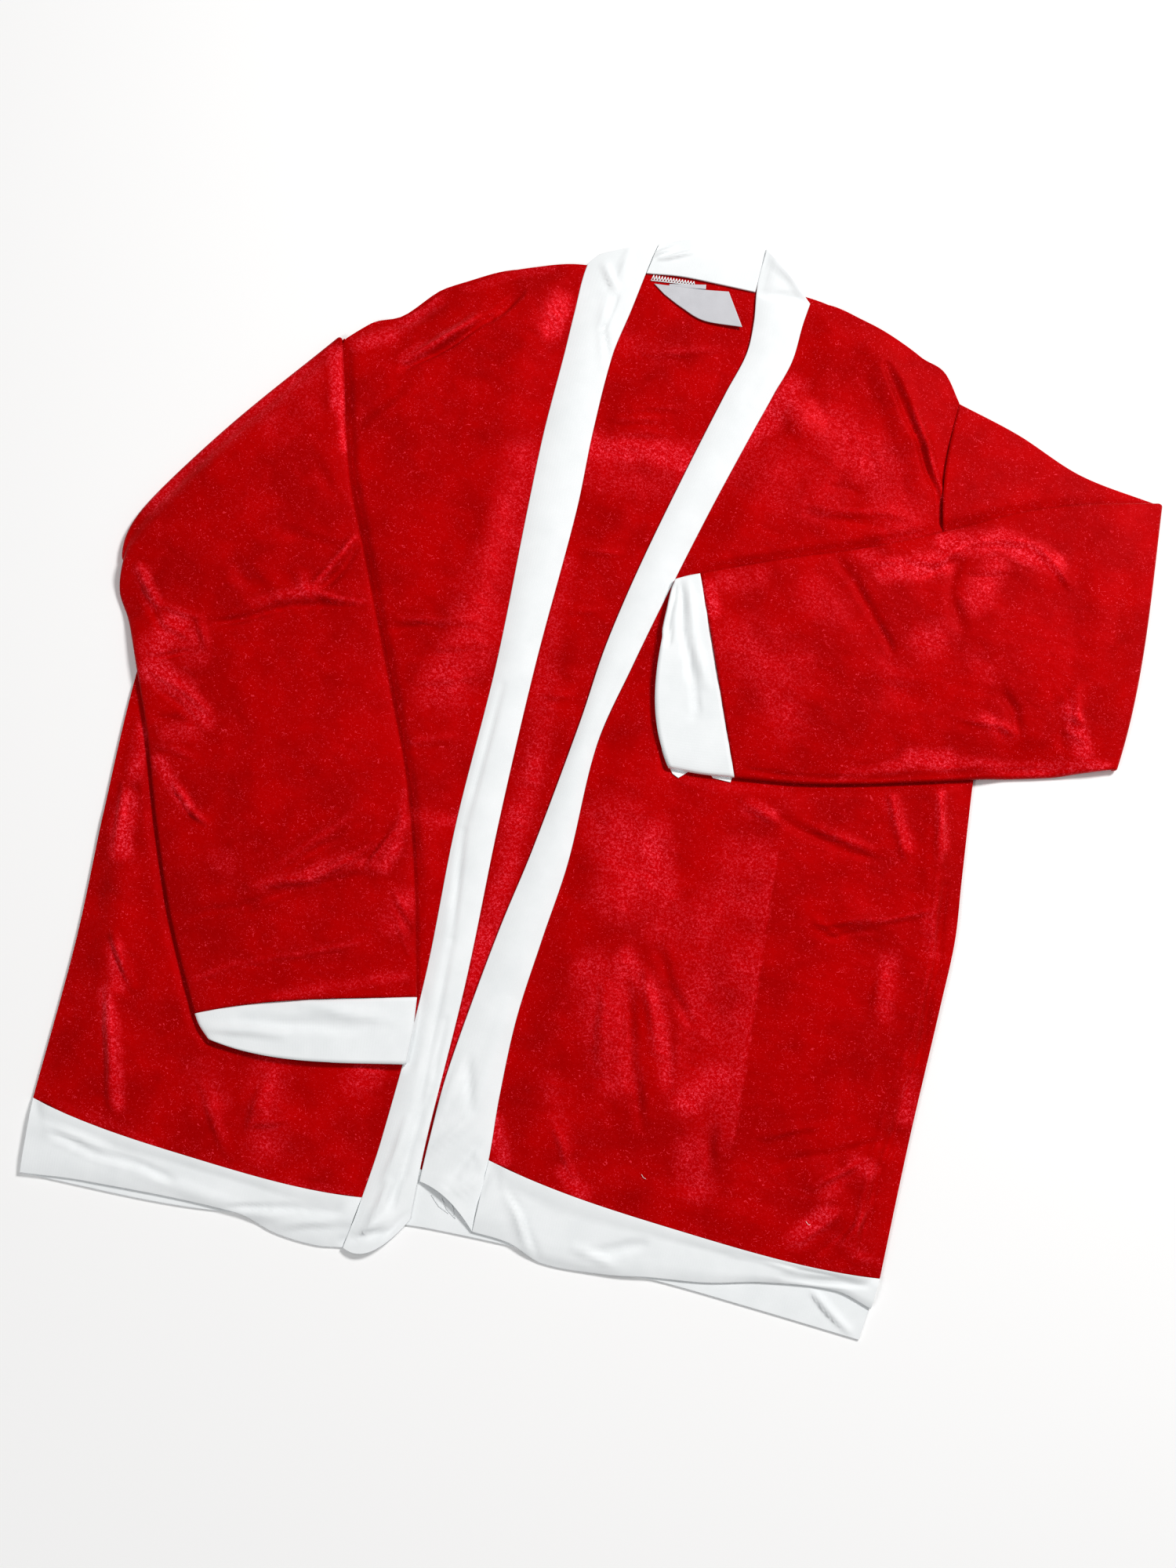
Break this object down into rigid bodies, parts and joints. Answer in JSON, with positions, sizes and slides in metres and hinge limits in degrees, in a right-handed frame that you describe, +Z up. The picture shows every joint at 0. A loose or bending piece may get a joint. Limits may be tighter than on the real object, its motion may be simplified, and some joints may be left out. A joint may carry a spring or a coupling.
{
  "type": "santa suit jacket, laid flat",
  "caption": "Open-front red felt santa jacket with white knit bands at neck, opening, cuffs and hem, laid flat with both sleeves folded over the fronts.",
  "frame": {"origin": "centre of the jacket's outline on the surface that it lies on", "axes": "+Z up out of the surface, +Y from the hem to the neck, +X to the wearer's left, which is the picture's right"},
  "size_m": [0.7964, 0.846, 0.0115],
  "materials": {
    "red_felt": "brushed felt with a soft sheen and fine crinkles",
    "white_knit": "matt brushed knit",
    "label_cloth": "thin woven satin, bare"
  },
  "bodies": {
    "root": {"back_panel": "red_felt", "front_right": "red_felt", "front_left": "red_felt", "sleeve_right": "red_felt", "sleeve_left": "red_felt", "cuff_right": "white_knit", "cuff_left": "white_knit", "hem_back": "white_knit", "hem_front_right": "white_knit", "hem_front_left": "white_knit", "band_right": "white_knit", "band_left": "white_knit", "collar_back": "white_knit", "care_label": "label_cloth"}
  },
  "joints": []
}
